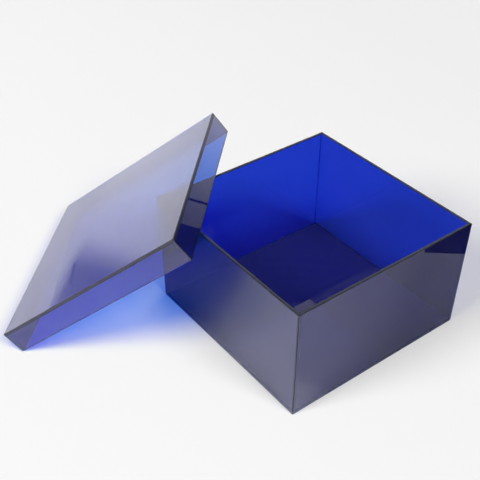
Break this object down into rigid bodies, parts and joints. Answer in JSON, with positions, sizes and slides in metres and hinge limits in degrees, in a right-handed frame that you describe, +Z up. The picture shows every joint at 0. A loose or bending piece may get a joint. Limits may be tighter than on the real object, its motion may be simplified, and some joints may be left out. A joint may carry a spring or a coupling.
{
  "type": "tiara box",
  "caption": "Square keepsake box of clear blue acrylic sheet: an open tray of cemented panels and a loose slip-over lid, taken off and leaning on the tray's corner.",
  "frame": {"origin": "centre of the underside of the tray's base", "axes": "+Z up, -Y out of the tray's front wall, -X out of its left wall; the lid leans on the back left corner, at -X and +Y"},
  "size_m": [0.3623, 0.3704, 0.1463],
  "materials": {
    "tray_acrylic": "clear blue acrylic sheet, polished faces and sawn edges",
    "lid_acrylic": "clear blue acrylic sheet, polished faces and sawn edges"
  },
  "bodies": {
    "tray": {"tray_base": "tray_acrylic", "tray_left_wall": "tray_acrylic", "tray_right_wall": "tray_acrylic", "tray_front_wall": "tray_acrylic", "tray_back_wall": "tray_acrylic"},
    "lid": {"lid_top": "lid_acrylic", "lid_left_skirt": "lid_acrylic", "lid_right_skirt": "lid_acrylic", "lid_front_skirt": "lid_acrylic", "lid_back_skirt": "lid_acrylic"}
  },
  "joints": [
    {"name": "lid_lift", "type": "slide", "parent": "tray", "child": "lid", "axis": [0, 0, 1], "range_m": [0, 0.12]}
  ]
}
